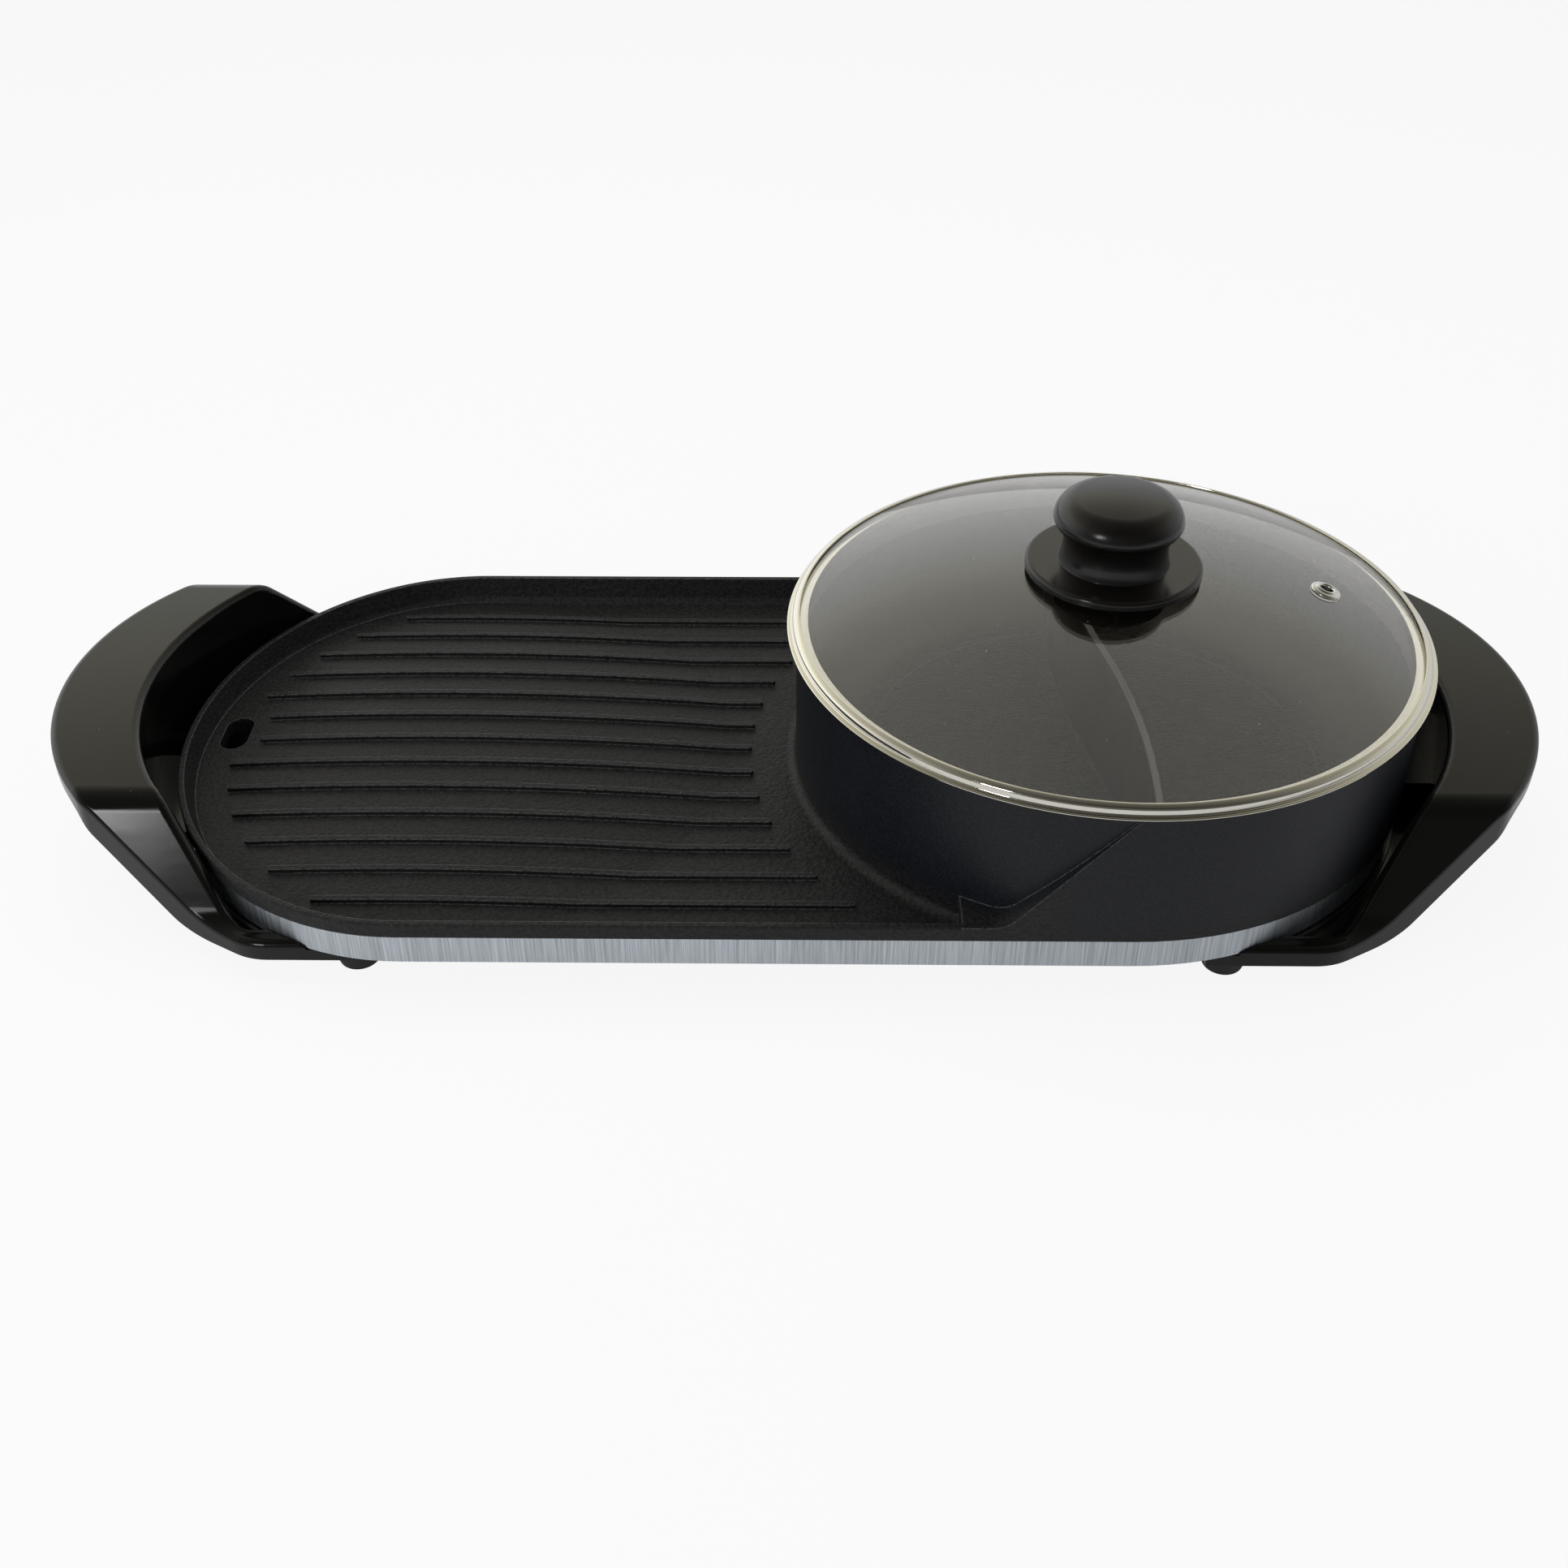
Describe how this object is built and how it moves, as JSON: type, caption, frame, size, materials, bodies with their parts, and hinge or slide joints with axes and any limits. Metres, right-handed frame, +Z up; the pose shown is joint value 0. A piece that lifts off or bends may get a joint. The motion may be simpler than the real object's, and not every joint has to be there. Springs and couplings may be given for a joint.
{
  "type": "electric griddle with hot pot",
  "caption": "Low electric table cooker: a ribbed griddle and a round divided hot pot cast in one pan, a domed glass lid with a knob over the pot, arched end handles and control dials.",
  "frame": {"origin": "on the table, below the middle of the cooker's length and width", "axes": "+X from the griddle to the pot, +Y to the back where the power inlet is, +Z up"},
  "size_m": [0.564, 0.24, 0.1377],
  "materials": {
    "bakelite": "satin bakelite",
    "band_steel": "fine upright brushing",
    "block_ceramic": "white ceramic",
    "cast_body": "matte non-stick coating on cast metal",
    "clear_glass": "clear tempered glass, slightly grey",
    "element_metal": "oxidised heater sheath",
    "foot_rubber": "moulded",
    "gloss_black": "glossy moulded plastic",
    "insert_brass": "turned",
    "lamp_red": "translucent red lens",
    "matte_black": "matte moulded plastic",
    "reflector_metal": "bright rolled sheet",
    "rim_steel": "polished pressed steel",
    "screw_steel": "zinc plated",
    "tray_metal": "black enamel",
    "vent_chrome": "polished",
    "wire_sleeve": "glass-fibre sleeve"
  },
  "bodies": {
    "base": {"side_band": "band_steel", "base_tray": "tray_metal", "griddle_element": "element_metal", "pot_element": "element_metal", "griddle_reflector": "reflector_metal", "pot_reflector": "reflector_metal", "griddle_clips": "reflector_metal", "pot_clips": "reflector_metal", "power_inlet": "matte_black", "inlet_pins": "screw_steel", "terminal_block": "block_ceramic", "thermal_fuse": "block_ceramic", "wiring": "wire_sleeve", "griddle_control_box": "gloss_black", "pot_control_box": "gloss_black", "griddle_thermostat": "block_ceramic", "pot_thermostat": "block_ceramic", "griddle_lamps": "lamp_red", "pot_lamps": "lamp_red", "handle_griddle": "gloss_black", "handle_pot": "gloss_black", "foot_griddle_front": "foot_rubber", "foot_griddle_back": "foot_rubber", "foot_pot_front": "foot_rubber", "foot_pot_back": "foot_rubber", "foot_screws": "screw_steel", "handle_screws": "screw_steel"},
    "pan": {"pan": "cast_body"},
    "lid": {"lid_glass": "clear_glass", "lid_rim": "rim_steel", "vent_grommet": "vent_chrome", "knob": "bakelite", "knob_insert": "insert_brass", "knob_seat": "bakelite", "knob_screw": "screw_steel"},
    "griddle_dial": {"griddle_shaft": "screw_steel", "griddle_dial": "gloss_black"},
    "pot_dial": {"pot_shaft": "screw_steel", "pot_dial": "gloss_black"},
    "drip_cup": {"drip_cup": "matte_black"}
  },
  "joints": [
    {"name": "pan_lift", "type": "slide", "parent": "base", "child": "pan", "axis": [0, 0, 1], "range_m": [0, 0.09]},
    {"name": "lid_lift", "type": "slide", "parent": "pan", "child": "lid", "axis": [0, 0, 1], "range_m": [0, 0.08]},
    {"name": "griddle_dial_turn", "type": "hinge", "parent": "base", "child": "griddle_dial", "pos_m": [-0.257, -0.034, 0.017], "axis": [-1, 0, 0], "range_deg": [0, 270]},
    {"name": "pot_dial_turn", "type": "hinge", "parent": "base", "child": "pot_dial", "pos_m": [0.257, 0, 0.017], "axis": [1, 0, 0], "range_deg": [0, 270]},
    {"name": "drip_cup_slide", "type": "slide", "parent": "base", "child": "drip_cup", "axis": [-1, 0, 0], "range_m": [0, 0.05]}
  ]
}
